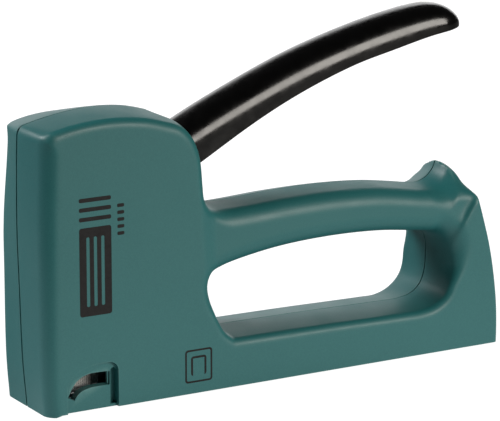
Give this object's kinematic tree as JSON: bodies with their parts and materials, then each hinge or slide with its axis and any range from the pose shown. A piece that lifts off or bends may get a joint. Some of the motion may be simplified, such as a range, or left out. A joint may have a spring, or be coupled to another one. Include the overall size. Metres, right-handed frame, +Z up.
{
  "type": "staple gun",
  "caption": "Hand staple gun: moulded two-part casing with a closed D-shaped grip, curved steel squeeze lever, sprung striker and pull-out magazine.",
  "frame": {"origin": "under the middle of the tool, level with the nose's foot that it rests on", "axes": "+X from the nose back to the tail, +Y across the tool to the side with the screws, +Z up"},
  "size_m": [0.1685, 0.032, 0.1145],
  "materials": {
    "casing_plastic": "satin, finely textured moulding",
    "lever_lacquer": "gloss black lacquer",
    "bright_steel": "ground",
    "spring_steel": "drawn and oiled",
    "zinc_steel": "zinc plated",
    "staple_wire": "galvanised wire, glued in a strip",
    "black_plastic": "satin",
    "rubber": "matt",
    "black_print": "pad-printed ink"
  },
  "bodies": {
    "casing": {"left_shell": "casing_plastic", "right_shell": "casing_plastic", "shell_screw_1": "zinc_steel", "shell_screw_2": "zinc_steel", "shell_screw_3": "zinc_steel", "shell_screw_4": "zinc_steel", "shell_screw_5": "zinc_steel", "lever_pivot_pin": "bright_steel", "lever_return_spring": "spring_steel", "main_spring": "spring_steel", "spring_seat": "zinc_steel", "bumper": "rubber", "front_plate": "bright_steel", "blade_guide": "zinc_steel", "magazine_channel": "zinc_steel", "channel_pin_front": "bright_steel", "channel_pin_rear": "bright_steel", "staple_strip": "staple_wire"},
    "lever": {"lever": "lever_lacquer"},
    "striker": {"plunger": "zinc_steel", "lift_pin": "bright_steel", "driver_blade": "bright_steel"},
    "magazine": {"magazine_rail": "bright_steel", "guide_rod": "bright_steel", "magazine_end_cap": "black_plastic", "cap_pin": "bright_steel", "catch_spring": "spring_steel", "pusher_spring": "spring_steel"},
    "pusher": {"pusher": "black_plastic"}
  },
  "joints": [
    {"name": "lever_hinge", "type": "hinge", "parent": "casing", "child": "lever", "pos_m": [-0.03695, 0, 0.069], "axis": [0, 1, 0], "range_deg": [0, 22], "stiffness_Nm_per_rad": 0.4, "springref_deg": -28.65, "deforming": ["lever_return_spring"]},
    {"name": "striker_slide", "type": "slide", "parent": "casing", "child": "striker", "axis": [0, 0, 1], "range_m": [0, 0.0126], "stiffness_N_per_m": 300, "springref_m": -0.01, "deforming": ["main_spring"]},
    {"name": "magazine_slide", "type": "slide", "parent": "casing", "child": "magazine", "axis": [1, 0, 0], "range_m": [0, 0.095], "deforming": ["catch_spring"]},
    {"name": "pusher_slide", "type": "slide", "parent": "magazine", "child": "pusher", "axis": [1, 0, 0], "range_m": [0, 0.06], "stiffness_N_per_m": 15, "springref_m": -0.08, "deforming": ["pusher_spring"]}
  ],
  "couplings": [
    {"joint": "striker_slide", "follows": "lever_hinge", "m_per_rad": 0.0326}
  ]
}
